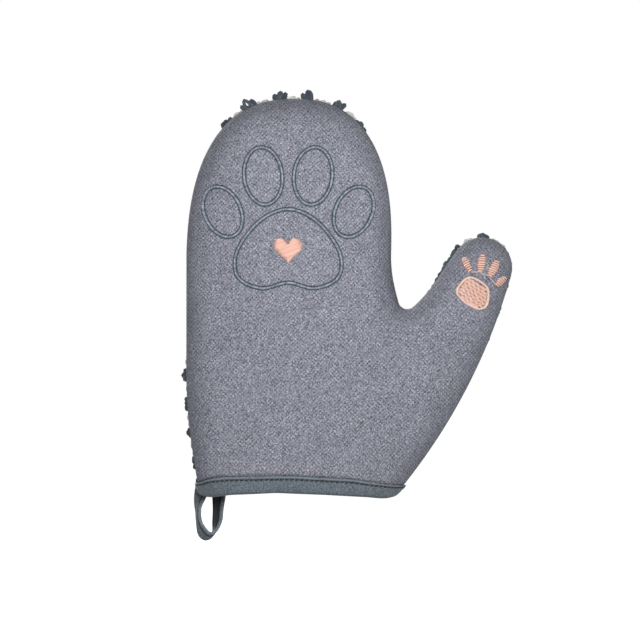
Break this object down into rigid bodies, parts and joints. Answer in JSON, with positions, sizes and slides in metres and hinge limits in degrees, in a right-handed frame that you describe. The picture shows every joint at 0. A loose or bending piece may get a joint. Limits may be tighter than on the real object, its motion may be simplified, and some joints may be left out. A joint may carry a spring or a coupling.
{
  "type": "pet grooming glove",
  "caption": "Padded mitten for grooming pets, with a thumb, a tufted palm, a crowned cloth back with a stitched figure, a bound cuff and a hanging loop.",
  "frame": {"origin": "middle of the cuff's edge, in the plane of the side seam", "axes": "+Z from the cuff to the fingertips, +X to the thumb side, +Y out of the tufted palm"},
  "size_m": [0.163, 0.0374, 0.2215],
  "materials": {
    "heather_cloth": "matt heathered weave",
    "wadding": "matt fibre",
    "lining_cloth": "matt plain weave",
    "pile_cloth": "tufted yarn, slate and white",
    "binding_tape": "matt twill tape",
    "overlock": "matt stitched edge",
    "blue_thread": "satin thread",
    "coral_thread": "satin thread",
    "dark_thread": "matt thread"
  },
  "bodies": {
    "hand": {"back_shell_hand": "heather_cloth", "back_wadding_hand": "wadding", "back_lining_hand": "lining_cloth", "palm_pile_hand": "pile_cloth", "palm_wadding_hand": "wadding", "palm_lining_hand": "lining_cloth", "seam_allowance_wrist_side": "overlock", "seam_allowance_heel": "overlock", "seam_allowance_web": "overlock", "cuff_binding": "binding_tape", "binding_stitching": "dark_thread", "loop_tack_left": "dark_thread", "loop_tack_right": "dark_thread"},
    "fingers": {"back_shell_fingers": "heather_cloth", "back_wadding_fingers": "wadding", "back_lining_fingers": "lining_cloth", "palm_pile_fingers": "pile_cloth", "palm_wadding_fingers": "wadding", "palm_lining_fingers": "lining_cloth", "seam_allowance_fingers": "overlock", "motif_pad_outline": "blue_thread", "motif_toe_outline_1": "blue_thread", "motif_toe_outline_2": "blue_thread", "motif_toe_outline_3": "blue_thread", "motif_toe_outline_4": "blue_thread", "motif_heart": "coral_thread"},
    "thumb": {"back_shell_thumb": "heather_cloth", "back_wadding_thumb": "wadding", "back_lining_thumb": "lining_cloth", "palm_pile_thumb": "pile_cloth", "palm_wadding_thumb": "wadding", "palm_lining_thumb": "lining_cloth", "seam_allowance_thumb": "overlock", "thumb_paw_pad": "coral_thread", "thumb_paw_toe_1": "coral_thread", "thumb_paw_toe_2": "coral_thread", "thumb_paw_toe_3": "coral_thread", "thumb_paw_toe_4": "coral_thread"},
    "loop": {"hanging_loop": "binding_tape"}
  },
  "joints": [
    {"name": "finger_curl", "type": "hinge", "parent": "hand", "child": "fingers", "pos_m": [-0.0046, 0.0011, 0.0925], "axis": [-1, 0, 0], "range_deg": [0, 45], "stiffness_Nm_per_rad": 0.03},
    {"name": "thumb_flex", "type": "hinge", "parent": "hand", "child": "thumb", "pos_m": [0.0541, 0.0011, 0.0925], "axis": [-0.829, 0, 0.5592], "range_deg": [0, 40], "stiffness_Nm_per_rad": 0.01},
    {"name": "loop_swing", "type": "hinge", "parent": "hand", "child": "loop", "pos_m": [-0.04425, -0.002, -0.0045], "axis": [1, 0, 0], "range_deg": [-80, 80]}
  ]
}
